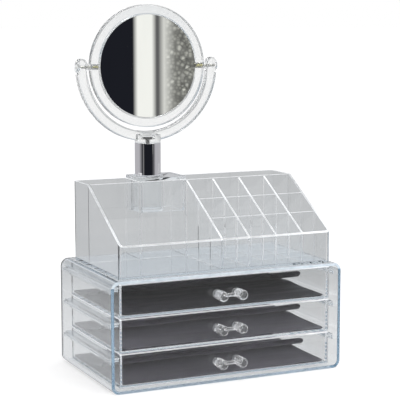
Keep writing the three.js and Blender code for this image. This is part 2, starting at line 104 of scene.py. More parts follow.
# Drawer mats
MAT_THICKNESS = 0.8 * MM
MAT_CORNER = 4.5 * MM
MAT_FLATS = {"bottom": 44 * MM, "middle": 31 * MM, "top": 23 * MM}
MAT_RAMPS = {"bottom": 27.5 * MM, "middle": 34 * MM, "top": 41.5 * MM}
MAT_RAMP_ANGLE = math.radians(10.8)
MAT_CURL_RADIUS = 12.4 * MM
MAT_CURL_ANGLE = math.radians(68)
MAT_FOLD_GAP = 0.5 * MM
SWELL_RISE = 1.2 * MM
SWELL_Y = 12 * MM
SWELL_WIDE = 14 * MM
SWELL_LONG = 16 * MM
WAVE_RISE = 0.1 * MM
WAVES_ACROSS = 55
WAVES_ALONG = 70
ACROSS_SHIFT = 1.7
ALONG_SHIFT = 2.3
SLACK_RISE = 0.5 * MM
MAT_COLUMNS = 90
MAT_ROWS = 160

# Mirror, yoke and fittings
POST_WALL = 1.2 * MM
PLUG_STEP = 1.5 * MM
YOKE_SPACE = 4 * MM
YOKE_HALF_DEPTH = 4.5 * MM
YOKE_SECTION_EDGE = 1.5 * MM
EAR_SEAT_REACH = 7.2 * MM
EAR_SEAT_DEPTH = 2.5 * MM
SEAT_HALF_DEPTH = 10 * MM
BOSS_HEIGHT = 8 * MM
BOSS_RIM = 0.6 * MM
WEB_THICKNESS = 1.6 * MM
WEB_REACH = 3.2 * MM
GLASS_RECESS = 0.3 * MM
INSERT_BORE = 2.7 * MM
INSERT_COVER = 1.4 * MM
SCREW_BORE = 1.65 * MM
STUD_BORE = 1.9 * MM
STUD_HEAD_BORE = 5.1 * MM
STUD_RISE = 3.6 * MM
STUD_HEAD_HEIGHT = 2 * MM
KNOB_DOME = 2.3 * MM
DOME_STEPS = 8

# Sockets of a Mix node that mixes colours
FIRST_COLOUR = 6
SECOND_COLOUR = 7
MIXED_COLOUR = 2

# The finishes' shared values
PLASTIC_IOR = 1.49
MOULD_WAVES = 0.010 * MM
FITTING_WAVES = 0.004 * MM
FASTENER_GRAIN = 0.01 * MM
SATIN_GRAIN = 0.02 * MM
PILE_HEIGHT = 0.75 * MM
CLOTH_SHEEN_TINT = (0.9, 0.88, 1.0, 1)

# Painted highlights: the plastic's edges glow with emission where they would catch light
UP = (0, 0, 1)
FRONT = (0, -1, 0)
TRAY_RIM_FROM = 112 * MM
TRAY_EDGE_GLOW = (0.62, 0.63, 0.64)
DRAWER_EDGE_GLOW = (0.65, 0.65, 0.67)
CASING_EDGE_GLOW = (0.5, 0.47, 0.44)
BLOCK_TOP_GLOW = (0.2, 0.21, 0.22)
HANDLE_GLOW = (0.2, 0.2, 0.21)
RIM_BAND = 1.5 * MM
CASING_EDGE_BAND = 6 * MM
CASING_FRONT_BAND = 1 * MM

# Enough for light to pass every wall on its way through the chest
LIGHT_BOUNCES = 40

scene = bpy.context.scene
scene.view_settings.view_transform = "Standard"
for kind_of_bounce in ("max_bounces", "transmission_bounces", "transparent_max_bounces", "glossy_bounces"):
    setattr(scene.cycles, kind_of_bounce, LIGHT_BOUNCES)


# Node helpers

def add_node(tree, kind, **settings):
    node = tree.nodes.new(kind)
    for key, value in settings.items():
        setattr(node, key, value)
    return node


def feed(tree, socket, value):
    """Links a socket to its source, or gives it a plain value."""
    if isinstance(value, bpy.types.NodeSocket):
        tree.links.new(value, socket)
    else:
        socket.default_value = value


def math_node(tree, operation, first, second=0.0, clamp=False):
    node = add_node(tree, "ShaderNodeMath", operation=operation, use_clamp=clamp)
    for socket, value in zip(node.inputs, (first, second)):
        feed(tree, socket, value)
    return node.outputs[0]


def ramp_node(tree, source, stops):
    """A colour ramp with its stops given as (place, colour)."""
    node = add_node(tree, "ShaderNodeValToRGB")
    elements = node.color_ramp.elements
    elements[0].position, elements[0].color = stops[0][0], (*stops[0][1], 1)
    elements[1].position, elements[1].color = stops[-1][0], (*stops[-1][1], 1)
    for place, colour in stops[1:-1]:
        element = elements.new(place)
        element.color = (*colour, 1)
    tree.links.new(source, node.inputs["Fac"])
    return node.outputs["Color"]


def mix_colour(tree, share, first, second, blend="MIX"):
    node = add_node(tree, "ShaderNodeMix", data_type="RGBA", blend_type=blend)
    feed(tree, node.inputs["Factor"], share)
    feed(tree, node.inputs[FIRST_COLOUR], first)
    feed(tree, node.inputs[SECOND_COLOUR], second)
    return node.outputs[MIXED_COLOUR]


def new_group(name, inputs, outputs):
    """An empty shader node group with its sockets; returns its tree and its two end nodes."""
    tree = bpy.data.node_groups.new(name, "ShaderNodeTree")
    for label, kind, value in inputs:
        socket = tree.interface.new_socket(name=label, in_out="INPUT", socket_type=kind)
        socket.default_value = value
    for label, kind in outputs:
        tree.interface.new_socket(name=label, in_out="OUTPUT", socket_type=kind)
    return tree, tree.nodes.new("NodeGroupInput"), tree.nodes.new("NodeGroupOutput")


def object_noise(tree, scale, detail, stretch=(1, 1, 1)):
    """Noise over the piece's own coordinates, in metres."""
    place = add_node(tree, "ShaderNodeTexCoord")
    mapping = add_node(tree, "ShaderNodeMapping")
    mapping.inputs["Scale"].default_value = stretch
    noise = add_node(tree, "ShaderNodeTexNoise")
    noise.inputs["Detail"].default_value = detail
    tree.links.new(place.outputs["Object"], mapping.inputs["Vector"])
    tree.links.new(mapping.outputs["Vector"], noise.inputs["Vector"])
    feed(tree, noise.inputs["Scale"], scale)
    return noise.outputs["Fac"]


def grey(level):
    return (level, level, level)


def make_wipe_marks():
    """Faint wiping marks and dust on a polished surface, as a roughness value."""
    tree, start, end = new_group(
        "wipe_marks",
        [("Base", "NodeSocketFloat", 0.02), ("Marks", "NodeSocketFloat", 0.05),
         ("Scale", "NodeSocketFloat", 60.0)],
        [("Roughness", "NodeSocketFloat"), ("Mask", "NodeSocketFloat")])
    smears = object_noise(tree, start.outputs["Scale"], 3.0, (1, 1, 0.25))
    fine = object_noise(tree, 900.0, 2.0, (0.15, 1, 1))
    smear_mask = ramp_node(tree, smears, [(0.5, grey(0)), (0.78, grey(1))])
    fine_mask = ramp_node(tree, fine, [(0.62, grey(0)), (0.75, grey(1))])
    both = math_node(tree, "MULTIPLY", smear_mask, fine_mask)
    mask = math_node(tree, "MAXIMUM", math_node(tree, "MULTIPLY", smear_mask, 0.35), both)
    rough = math_node(tree, "ADD", math_node(tree, "MULTIPLY", mask, start.outputs["Marks"]),
                      start.outputs["Base"])
    tree.links.new(rough, end.inputs["Roughness"])
    tree.links.new(mask, end.inputs["Mask"])
    return tree


def make_mould_flow():
    """The slow unevenness of moulded plastic, as a height."""
    tree, start, end = new_group(
        "mould_flow",
        [("Scale", "NodeSocketFloat", 14.0)],
        [("Height", "NodeSocketFloat")])
    slow = object_noise(tree, start.outputs["Scale"], 1.0)
    tree.links.new(slow, end.inputs["Height"])
    return tree


def make_painted_edge_highlights():
    """A slightly patchy mask of the faces that look one way, past some plane and above some height, for
    painted highlights.
    """
    tree, start, end = new_group(
        "painted_edge_highlights",
        [("Facing", "NodeSocketVector", (0, 0, 1)), ("Past", "NodeSocketFloat", 0.0),
         ("Above", "NodeSocketFloat", -1.0)],
        [("Mask", "NodeSocketFloat")])
    spot = add_node(tree, "ShaderNodeTexCoord")

    def along(source):
        node = add_node(tree, "ShaderNodeVectorMath", operation="DOT_PRODUCT")
        tree.links.new(source, node.inputs[0])
        tree.links.new(start.outputs["Facing"], node.inputs[1])
        return node.outputs["Value"]

    height = add_node(tree, "ShaderNodeSeparateXYZ")
    tree.links.new(spot.outputs["Object"], height.inputs["Vector"])
    turned_so = math_node(tree, "GREATER_THAN", along(spot.outputs["Normal"]), 0.25)
    past = math_node(tree, "GREATER_THAN", along(spot.outputs["Object"]), start.outputs["Past"])
    above = math_node(tree, "GREATER_THAN", height.outputs["Z"], start.outputs["Above"])
    patches = ramp_node(tree, object_noise(tree, 160.0, 2.0), [(0.3, grey(0.7)), (0.6, grey(1))])
    edge = math_node(tree, "MULTIPLY", math_node(tree, "MULTIPLY", turned_so, past), above)
    tree.links.new(math_node(tree, "MULTIPLY", edge, patches), end.inputs["Mask"])
    return tree


def make_cup_painted_highlights():
    """Painted highlights: bright streaks along the outside of a handle's two cups and on its bar, not
    inside the bores.
    """
    tree, start, end = new_group(
        "cup_painted_highlights",
        [("Centre", "NodeSocketVector", (0, 0, 0)), ("Half Span", "NodeSocketFloat", 0.01),
         ("Bore", "NodeSocketFloat", 0.004)],
        [("Mask", "NodeSocketFloat")])
    spot = add_node(tree, "ShaderNodeTexCoord")
    offset = add_node(tree, "ShaderNodeVectorMath", operation="SUBTRACT")
    tree.links.new(spot.outputs["Object"], offset.inputs[0])
    tree.links.new(start.outputs["Centre"], offset.inputs[1])
    parts = add_node(tree, "ShaderNodeSeparateXYZ")
    tree.links.new(offset.outputs["Vector"], parts.inputs["Vector"])
    from_middle = math_node(tree, "ABSOLUTE", parts.outputs["X"])
    sideways = math_node(tree, "SUBTRACT", from_middle, start.outputs["Half Span"])
    squares = math_node(tree, "MULTIPLY", sideways, sideways)
    rise = math_node(tree, "MULTIPLY", parts.outputs["Z"], parts.outputs["Z"])
    reach = math_node(tree, "SQRT", math_node(tree, "ADD", squares, rise))
    outside = math_node(tree, "GREATER_THAN", reach, start.outputs["Bore"])
    streaks = ramp_node(tree, object_noise(tree, 420.0, 2.0, (1, 0.25, 1)),
                        [(0.42, grey(0.15)), (0.56, grey(1))])
    tree.links.new(math_node(tree, "MULTIPLY", outside, streaks), end.inputs["Mask"])
    return tree


WIPE_MARKS = make_wipe_marks()
MOULD_FLOW = make_mould_flow()
PAINTED_EDGE_HIGHLIGHTS = make_painted_edge_highlights()
CUP_PAINTED_HIGHLIGHTS = make_cup_painted_highlights()


def use_group(tree, group, **values):
    """Places a group with its values, where an underscore stands for a space in a socket's name."""
    node = add_node(tree, "ShaderNodeGroup", node_tree=group)
    for label, value in values.items():
        node.inputs[label.replace("_", " ")].default_value = value
    return node


def new_material(name):
    material = bpy.data.materials.new(name)
    material.use_nodes = True
    tree = material.node_tree
    return material, tree, tree.nodes["Principled BSDF"]


def bump(tree, shader, height, distance, strength=1.0):
    node = add_node(tree, "ShaderNodeBump")
    node.inputs["Strength"].default_value = strength
    node.inputs["Distance"].default_value = distance
    tree.links.new(height, node.inputs["Height"])
    tree.links.new(node.outputs["Normal"], shader.inputs["Normal"])


# Finishes

def clear_plastic(name, tint, deep_tint, density, base_roughness, marks, flow,
                  milk=0.0, painted_glow=None, polished_below=None):
    """Polished clear plastic: nearly colourless through a wall, blue-grey along an edge.

    Milk is the share of it that scatters light, and the painted-highlight argument gives (mask group, its
    values, glow, added roughness): a painted highlight that makes outer faces glow where they would catch
    light. A hazy piece may be polished below a height.
    """
    material, tree, shader = new_material(name)
    mottle = object_noise(tree, 35.0, 2.0)
    paler = tuple(min(1.0, value * 1.01) for value in tint)
    colour = ramp_node(tree, mottle, [(0.3, tint), (0.7, paler)])
    tree.links.new(colour, shader.inputs["Base Color"])
    wipe = use_group(tree, WIPE_MARKS, Base=base_roughness, Marks=marks, Scale=45.0)
    roughness = wipe.outputs["Roughness"]
    # Painted highlight: the masked outer faces glow with emission and are a little rougher.
    if painted_glow is not None:
        group, settings, glow, added_roughness = painted_glow
        inner_side = add_node(tree, "ShaderNodeNewGeometry").outputs["Backfacing"]
        outer_side = math_node(tree, "SUBTRACT", 1.0, inner_side)
        marked = use_group(tree, group, **settings).outputs["Mask"]
        mask = math_node(tree, "MULTIPLY", marked, outer_side)
        roughness = math_node(tree, "ADD", roughness, math_node(tree, "MULTIPLY", mask, added_roughness))
        glowing = ramp_node(tree, mask, [(0.0, grey(0)), (1.0, glow)])
        tree.links.new(glowing, shader.inputs["Emission Color"])
        shader.inputs["Emission Strength"].default_value = 1.0
    if polished_below is not None:
        spot = add_node(tree, "ShaderNodeTexCoord")
        height = add_node(tree, "ShaderNodeSeparateXYZ")
        tree.links.new(spot.outputs["Object"], height.inputs["Vector"])
        hazy = math_node(tree, "GREATER_THAN", height.outputs["Z"], polished_below)
        roughness = math_node(tree, "MULTIPLY", roughness, hazy)
    tree.links.new(roughness, shader.inputs["Roughness"])
    waves = use_group(tree, MOULD_FLOW, Scale=18.0)
    bump(tree, shader, waves.outputs["Height"], flow)
    shader.inputs["Transmission Weight"].default_value = 1 - milk
    shader.inputs["IOR"].default_value = PLASTIC_IOR
    depth = add_node(tree, "ShaderNodeVolumeAbsorption")
    depth.inputs["Color"].default_value = (*deep_tint, 1)
    depth.inputs["Density"].default_value = density
    output = tree.nodes["Material Output"]
    tree.links.new(depth.outputs["Volume"], output.inputs["Volume"])
    return material


def polished_metal(name, colour, base_roughness, marks, grain=0.0):
    """Metal with faint wiping marks, and with fine turning marks where grain gives them a depth."""
    material, tree, shader = new_material(name)
    shader.inputs["Metallic"].default_value = 1
    wipe = use_group(tree, WIPE_MARKS, Base=base_roughness, Marks=marks, Scale=70.0)
    tree.links.new(wipe.outputs["Roughness"], shader.inputs["Roughness"])
    darker = tuple(value * 0.93 for value in colour)
    tone = ramp_node(tree, wipe.outputs["Mask"], [(0.0, colour), (1.0, darker)])
    tree.links.new(tone, shader.inputs["Base Color"])
    if grain:
        bump(tree, shader, object_noise(tree, 1500.0, 3.0, (1, 1, 0.2)), grain)
    return material


def mat_cloth(name, paleness, sheen):
    """Short-napped dark cloth with a soft sheen and streaks where it was stroked. The streaks in its colour
    are partly painted sheen, and its slightly unevenly dyed colour is scaled by a brightness factor that
    paints light onto it.
    """

    # Painted light: the colour is the dyed colour times a brightness factor, and above 1 that factor paints
    # light onto cloth that gets little.
    def dye_and_light(red, green, blue):
        return paleness * red, paleness * green, paleness * blue

    material, tree, shader = new_material(name)
    strokes_and_sheen = object_noise(tree, 55.0, 3.0, (0.22, 1.0, 1.0))
    nap = object_noise(tree, 1600.0, 4.0)
    # The streaks in the colour are partly stroked nap and partly painted sheen.
    tone = ramp_node(tree, strokes_and_sheen, [(0.38, dye_and_light(0.018, 0.0172, 0.0205)), (0.5, dye_and_light(0.0255, 0.0238, 0.0295)),
                                     (0.64, dye_and_light(0.047, 0.0445, 0.054))])
    speckle = ramp_node(tree, nap, [(0.35, (0.78, 0.78, 0.79)), (0.65, grey(1))])
    tree.links.new(mix_colour(tree, 1, tone, speckle, "MULTIPLY"), shader.inputs["Base Color"])
    rough = ramp_node(tree, strokes_and_sheen, [(0.38, grey(0.38)), (0.64, grey(0.66))])
    tree.links.new(rough, shader.inputs["Roughness"])
    shader.inputs["Sheen Weight"].default_value = sheen
    shader.inputs["Sheen Tint"].default_value = CLOTH_SHEEN_TINT
    shader.inputs["Specular IOR Level"].default_value = 0.2
    shader.inputs["Specular Tint"].default_value = CLOTH_SHEEN_TINT
    shader.inputs["Sheen Roughness"].default_value = 0.5
    pile = math_node(tree, "ADD", math_node(tree, "MULTIPLY", nap, 0.2), strokes_and_sheen)
    bump(tree, shader, pile, PILE_HEIGHT, 0.6)
    return material


def satin_plastic(name, colour):
    """Opaque plastic with a fine even grain."""
    material, tree, shader = new_material(name)
    grain = object_noise(tree, 500.0, 3.0)
    deeper = tuple(value * 0.92 for value in colour)
    tree.links.new(ramp_node(tree, grain, [(0.3, deeper), (0.7, colour)]), shader.inputs["Base Color"])
    wipe = use_group(tree, WIPE_MARKS, Base=0.38, Marks=0.15, Scale=60.0)
    tree.links.new(wipe.outputs["Roughness"], shader.inputs["Roughness"])
    bump(tree, shader, grain, SATIN_GRAIN)
    return material


POLISHED = {"base_roughness": 0.012, "marks": 0.05, "flow": MOULD_WAVES}
WALL = {"tint": (0.985, 0.988, 0.99), "deep_tint": (0.68, 0.76, 0.82), **POLISHED}
FITTING = {"tint": (0.985, 0.988, 0.988), "deep_tint": (0.74, 0.8, 0.82), "density": 6.0,
           "base_roughness": 0.012, "marks": 0.04, "flow": FITTING_WAVES, "milk": 0.03}
CASING = {"tint": (0.985, 0.99, 0.993), "deep_tint": (0.36, 0.59, 0.75), "density": 9.5, **POLISHED}
HANDLE = {"tint": (0.985, 0.985, 0.985), "deep_tint": (0.8, 0.82, 0.82), "density": 3.0,
          "base_roughness": 0.02, "marks": 0.05, "flow": FITTING_WAVES, "milk": 0.03}
HAZY_RING = {"tint": (0.93, 0.934, 0.93), "deep_tint": (0.86, 0.87, 0.87), "density": 2.0,
             "base_roughness": 0.14, "marks": 0.05, "flow": MOULD_WAVES, "milk": 0.06}
FASTENER = {"marks": 0.15, "grain": FASTENER_GRAIN}
MATERIALS = {
    "clear_plastic": clear_plastic("clear_wall_plastic", **WALL, density=4.0),
    "clear_trim": clear_plastic("clear_fitting_plastic", **FITTING),
    "mat_cloth": mat_cloth("drawer_mat_cloth", 1.0, 0.06),
    "chrome": polished_metal("chrome_plate", (0.86, 0.85, 0.87), base_roughness=0.03, marks=0.05),
    "plug_plastic": satin_plastic("plug_plastic", (0.80, 0.81, 0.81)),
    "mirror_silver": polished_metal("silvered_glass", (0.93, 0.94, 0.94), base_roughness=0.004, marks=0.02),
    "steel": polished_metal("nickel_steel", (0.62, 0.61, 0.56), base_roughness=0.2, **FASTENER),
    "black_steel": polished_metal("black_oxide_steel", (0.03, 0.03, 0.035), base_roughness=0.3, **FASTENER),
    "brass": polished_metal("bright_brass", (0.62, 0.58, 0.26), base_roughness=0.2, **FASTENER),
}
SLOTS = {part["node"]: part["material_slot"] for part in frame["record"]["subparts"]}
GROUPS = frame["record"]["behaviour"]["bodies"]
BODIES = {node: body for body, nodes in GROUPS.items() for node in nodes}


def painted_rim_highlight(past, glow, added_roughness):
    """Paints a highlight, as a glow, on the upper edges of a clear wall from some height on."""
    return PAINTED_EDGE_HIGHLIGHTS, {"Facing": UP, "Past": past}, glow, added_roughness


def painted_front_highlight(piece_box, glow, added_roughness):
    """Paints a highlight, as a glow, on the top of a sleeve's front edge."""
    low, high = piece_box
    values = {"Facing": FRONT, "Past": -low.y - CASING_FRONT_BAND, "Above": high.z - CASING_EDGE_BAND}
    return PAINTED_EDGE_HIGHLIGHTS, values, glow, added_roughness


def painted_cup_highlights(piece_box, glow, added_roughness):
    """Paints streaked highlights, as a glow, on a handle's bar and the outside of its cups."""
    low, high = piece_box
    values = {"Centre": (low + high) / 2, "Half_Span": (high.x - low.x) / 2 - CUP_RADIUS,
              "Bore": CUP_BORE + CUP_RIM / 2}
    return CUP_PAINTED_HIGHLIGHTS, values, glow, added_roughness


# Painted highlights: the tray, casing, socket block, drawers and handles glow on the edges that would catch
# light.
TRAY_PLASTIC = clear_plastic("tray_plastic", **WALL, density=3.0,
                             painted_glow=painted_rim_highlight(TRAY_RIM_FROM, TRAY_EDGE_GLOW, 0.4))
# Painted light: a copy of the drawer cloth for the middle and bottom mats, its colour painted 3.4 times
# paler and with more sheen, since little light reaches them inside the chest.
PAINTED_LIT_CLOTH = mat_cloth("painted_lit_mat_cloth", 3.4, 0.55)
yoke_boss_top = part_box("mirror_yoke")[0].z + BOSS_HEIGHT
block_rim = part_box("socket_block")[1].z - RIM_BAND
OWN_FINISH = {
    "mirror_frame": clear_plastic("mirror_frame_plastic", **HAZY_RING),
    "mirror_yoke": clear_plastic("mirror_yoke_plastic", **HAZY_RING, polished_below=yoke_boss_top),
    "casing_sleeve": clear_plastic("casing_plastic", **CASING,
                                   painted_glow=painted_front_highlight(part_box("casing_sleeve"), CASING_EDGE_GLOW, 0.1)),
    "socket_block": clear_plastic("socket_block_plastic", **WALL, density=3.0,
                                  painted_glow=painted_rim_highlight(block_rim, BLOCK_TOP_GLOW, 0.1)),
}
OWN_FINISH.update({node: TRAY_PLASTIC for node in GROUPS["tray"]})
for level in LEVELS:
    drawer_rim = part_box(f"drawer_{level}")[1].z - RIM_BAND
    OWN_FINISH[f"drawer_{level}"] = clear_plastic(
        f"drawer_plastic_{level}", **WALL, density=3.0, painted_glow=painted_rim_highlight(drawer_rim, DRAWER_EDGE_GLOW, 0.4))
    OWN_FINISH[f"handle_{level}"] = clear_plastic(
        f"handle_plastic_{level}", **HANDLE,
        painted_glow=painted_cup_highlights(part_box(f"handle_{level}"), HANDLE_GLOW, 0.03))
    # The middle and bottom mats take the cloth with painted light.
    if level != "top":
        OWN_FINISH[f"mat_{level}"] = PAINTED_LIT_CLOTH


# Making pieces

def middle_of(node):
    low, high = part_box(node)
    return (low + high) / 2


def upright_axis(node):
    """The point under a round upright piece, at the height of the object's base."""
    middle = middle_of(node)
    return Vector((middle.x, middle.y, 0))


def deselect():
    bpy.ops.object.select_all(action="DESELECT")


def activate(piece):
    deselect()
    piece.select_set(True)
    bpy.context.view_layer.objects.active = piece


def apply_modifier(piece, kind, **settings):
    activate(piece)
    modifier = piece.modifiers.new(kind.lower(), kind)
    for key, value in settings.items():
        setattr(modifier, key, value)
    bpy.ops.object.modifier_apply(modifier=modifier.name)


def settle(piece):
    """Puts a finished piece's place into its mesh."""
    activate(piece)
    bpy.ops.object.transform_apply(location=True, rotation=True, scale=True)


def joined(piece, other, operation="UNION"):
    """Cuts with, or adds, another solid, which is then gone."""
    apply_modifier(piece, "BOOLEAN", operation=operation, object=other, solver="EXACT")
    bpy.data.objects.remove(other)


def round_edges(piece, edge, segments=2, angle=BEVEL_FROM):
    """Merges a mesh, rounds its sharp edges and evens the shading of the flats beside them."""
    activate(piece)
    bpy.ops.object.mode_set(mode="EDIT")
    bpy.ops.mesh.select_all(action="SELECT")
    bpy.ops.mesh.remove_doubles(threshold=MERGE)
    bpy.ops.mesh.dissolve_limited(angle_limit=math.radians(0.5))
    bpy.ops.object.mode_set(mode="OBJECT")
    apply_modifier(piece, "BEVEL", width=edge, segments=segments, limit_method="ANGLE",
                   angle_limit=math.radians(angle), use_clamp_overlap=False, miter_outer="MITER_ARC")
    even_shading(piece)


def even_shading(piece, angle=SHADE_FROM):
    activate(piece)
    bpy.ops.object.shade_smooth_by_angle(angle=math.radians(angle))
    apply_modifier(piece, "WEIGHTED_NORMAL", mode="FACE_AREA", weight=100, keep_sharp=True)


def place(piece, node):
    """Gives a finished piece its material and its body, and hides the CAD node that it stands for."""
    piece.data.materials.clear()
    piece.data.materials.append(OWN_FINISH.get(node, MATERIALS[SLOTS[node]]))
    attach(piece, BODIES[node])
    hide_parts(node)
    return piece


def copied(node):
    """A copy of a CAD node's mesh, as loose triangles."""
    piece = bpy.data.objects.new(node + "_moulded", frame["nodes"][node].data.copy())
    scene.collection.objects.link(piece)
    return piece


def softened(node, edge):
    """A flat-sided moulding with its sharp edges rounded."""
    piece = copied(node)
    round_edges(piece, edge)
    return place(piece, node)


def block(name, low, high):
    """A box between two corners."""
    deselect()
    bpy.ops.mesh.primitive_cube_add(size=1, location=(Vector(low) + Vector(high)) / 2)
    piece = bpy.context.active_object
    piece.name = name
    piece.dimensions = Vector(high) - Vector(low)
    settle(piece)
    return piece


def rounded_block(name, low, high, radius, axis, segments=10):
    """A box whose four edges along one axis are rounded."""
    piece = block(name, low, high)
    along = AXES[axis]
    bpy.ops.object.mode_set(mode="EDIT")
    bpy.ops.mesh.select_mode(type="EDGE")
    bpy.ops.mesh.select_all(action="DESELECT")
    bpy.ops.object.mode_set(mode="OBJECT")
    points = piece.data.vertices
    for edge in piece.data.edges:
        run = points[edge.vertices[1]].co - points[edge.vertices[0]].co
        edge.select = abs(run.normalized().dot(along)) > 0.9
    bpy.ops.object.mode_set(mode="EDIT")
    bpy.ops.mesh.bevel(offset=radius, segments=segments, affect="EDGES")
    bpy.ops.object.mode_set(mode="OBJECT")
    return piece


def turned(name, profile, centre, axis, steps=96, angle=2 * math.pi):
    """A lathe-turned solid from (radius, height) points about an axis through centre."""
    along = AXES[axis]
    points = [centre + RADIAL[axis] * radius + along * height for radius, height in profile]
    deselect()
    bpy.ops.mesh.primitive_plane_add(size=MM, location=points[0])
    piece = bpy.context.active_object
    piece.name = name
    bpy.ops.object.mode_set(mode="EDIT")
    bpy.ops.mesh.select_mode(type="VERT")
    bpy.ops.mesh.select_all(action="SELECT")
    bpy.ops.mesh.merge(type="CENTER")
    for here, there in zip(points, points[1:]):
        bpy.ops.mesh.extrude_vertices_move(TRANSFORM_OT_translate={"value": there - here})
    bpy.ops.mesh.select_all(action="SELECT")
    bpy.ops.mesh.remove_doubles(threshold=MERGE)
    bpy.ops.mesh.spin(steps=steps, angle=angle, center=centre, axis=along)
    bpy.ops.mesh.select_all(action="SELECT")
    bpy.ops.mesh.remove_doubles(threshold=MERGE)
    bpy.ops.mesh.normals_make_consistent(inside=False)
    bpy.ops.object.mode_set(mode="OBJECT")
    settle(piece)
    return piece


def rod(name, radius, start, end, centre, axis, steps=48):
    return turned(name, [(0, start), (radius, start), (radius, end), (0, end)], centre, axis, steps)


def tube(name, bore, radius, start, end, centre, axis, steps=48):
    section = [(bore, start), (radius, start), (radius, end), (bore, end), (bore, start)]
    return turned(name, section, centre, axis, steps)


# Chest

def make_casing():
    low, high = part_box("casing_sleeve")
    sleeve = rounded_block("casing_sleeve_moulded", low, high, CASING_CORNER, "y", CORNER_STEPS)
    wall = Vector((CASING_WALL, 0, CASING_WALL))
    past = Vector((0, OVERRUN, 0))
    hollow = rounded_block("hollow", low + wall - past, high - wall + past, CASING_CORNER - CASING_WALL,
                           "y", CORNER_STEPS)
    joined(sleeve, hollow, "DIFFERENCE")
    round_edges(sleeve, MOULD_EDGE * 1.6, 3)
    place(sleeve, "casing_sleeve")
    low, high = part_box("casing_back")
    back = rounded_block("casing_back_moulded", low, high, CASING_CORNER, "y", CORNER_STEPS)
    round_edges(back, MOULD_EDGE)
    place(back, "casing_back")


def make_handle(level):
    """Two cups, each turned with its bore and its pin, and the bar between them."""
    node = "handle_" + level
    low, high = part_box(node)
    middle_z = middle_of(node).z
    seat_y = low.y + CUP_LENGTH
    pin_end = high.y - seat_y
    cup_profile = [
        (0, -pin_end), (PIN_RADIUS, -pin_end), (PIN_RADIUS, 0), (CUP_BASE, 0),
        (CUP_BASE + 0.25 * (CUP_RADIUS - CUP_BASE), CUP_NECK * 0.5), (CUP_RADIUS, CUP_NECK),
        (CUP_RADIUS, CUP_LENGTH - CUP_RIM), (CUP_RADIUS - CUP_RIM, CUP_LENGTH), (CUP_BORE, CUP_LENGTH),
        (CUP_BORE, CUP_LENGTH - CUP_BORE_DEPTH + CUP_RIM),
        (CUP_BORE - CUP_RIM, CUP_LENGTH - CUP_BORE_DEPTH), (0, CUP_LENGTH - CUP_BORE_DEPTH)]
    outwards = [(radius, -height) for radius, height in cup_profile]
    left_x = low.x + CUP_RADIUS
    right_x = high.x - CUP_RADIUS
    handle = turned(node + "_moulded", outwards, Vector((left_x, seat_y, middle_z)), "y", TURN_STEPS)
    joined(handle, turned("cup", outwards, Vector((right_x, seat_y, middle_z)), "y", TURN_STEPS))
    inset = (CUP_RADIUS + CUP_BORE) / 2
    bar = rod("bar", BAR_RADIUS, left_x + inset, right_x - inset,
              Vector((0, seat_y - BAR_STAND_OFF, middle_z)), "x")
    joined(handle, bar)
    round_edges(handle, THIN_EDGE, 2, 28)
    place(handle, node)


def mat_line(travel, low, crease_y, flat, ramp):
    """Where the mat's middle surface is after some travel from its front edge: (y, z)."""
    half = MAT_THICKNESS / 2
    radius = (MAT_THICKNESS + MAT_FOLD_GAP) / 2
    laid = crease_y - low.y
    if travel < laid:
        return low.y + travel, low.z + half
    travel -= laid
    if travel < math.pi * radius:
        turn = travel / radius
        return crease_y + radius * math.sin(turn), low.z + half + radius * (1 - math.cos(turn))
    travel -= math.pi * radius
    top = low.z + half + 2 * radius
    if travel < flat:
        return crease_y - travel, top
    travel -= flat
    slope = MAT_RAMP_ANGLE
    along = min(travel, ramp)
    y = crease_y - flat - along * math.cos(slope)
    z = top + along * math.sin(slope)
    bend = MAT_CURL_RADIUS - half
    turn = slope + (travel - along) / bend
    return y + bend * (math.sin(slope) - math.sin(turn)), z + bend * (math.cos(slope) - math.cos(turn))


def make_mat(level):
    """A thin cloth sheet, laid on the drawer's floor with its long rear end folded forward."""
    node = "mat_" + level
    low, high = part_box(node)
    order = LEVELS.index(level)
    half = MAT_THICKNESS / 2
    radius = (MAT_THICKNESS + MAT_FOLD_GAP) / 2
    crease_y = high.y - half - radius
    flat = MAT_FLATS[level] - half - radius
    ramp = MAT_RAMPS[level]
    before_flap = crease_y - low.y + math.pi * radius
    curl = (MAT_CURL_RADIUS - half) * (MAT_CURL_ANGLE - MAT_RAMP_ANGLE)
    length = before_flap + flat + ramp + curl
    width = high.x - low.x
    deselect()
    bpy.ops.mesh.primitive_grid_add(x_subdivisions=MAT_COLUMNS, y_subdivisions=MAT_ROWS, size=1)
    sheet = bpy.context.active_object
    sheet.name = node + "_cloth"
    for vertex in sheet.data.vertices:
        travel = (vertex.co.y + 0.5) * length
        end = min(travel, length - travel)
        narrow = 0.0
        if end < MAT_CORNER:
            narrow = MAT_CORNER - math.sqrt(MAT_CORNER ** 2 - (MAT_CORNER - end) ** 2)
        x = 2 * vertex.co.x * (width / 2 - narrow)
        y, z = mat_line(travel, low, crease_y, flat, ramp)
        wave = math.sin(x * WAVES_ACROSS + order * ACROSS_SHIFT)
        wave *= math.sin(y * WAVES_ALONG + order * ALONG_SHIFT)
        if travel < crease_y - low.y:
            swell = math.exp(-((x - width / 2) / SWELL_WIDE) ** 2 - ((y - SWELL_Y) / SWELL_LONG) ** 2)
            z += SWELL_RISE * swell + WAVE_RISE * (1 + wave)
        elif travel > before_flap + flat:
            z += (travel - before_flap - flat) / (ramp + curl) * SLACK_RISE * wave
        vertex.co = (x, y, z)
    sheet.data.update()
    apply_modifier(sheet, "SOLIDIFY", thickness=MAT_THICKNESS, offset=0)
    activate(sheet)
    bpy.ops.object.mode_set(mode="EDIT")
    bpy.ops.mesh.select_all(action="SELECT")
    bpy.ops.mesh.normals_make_consistent(inside=False)
    bpy.ops.object.mode_set(mode="OBJECT")
    bpy.ops.object.shade_smooth_by_angle(angle=math.radians(50))
    place(sheet, node)


# Tray

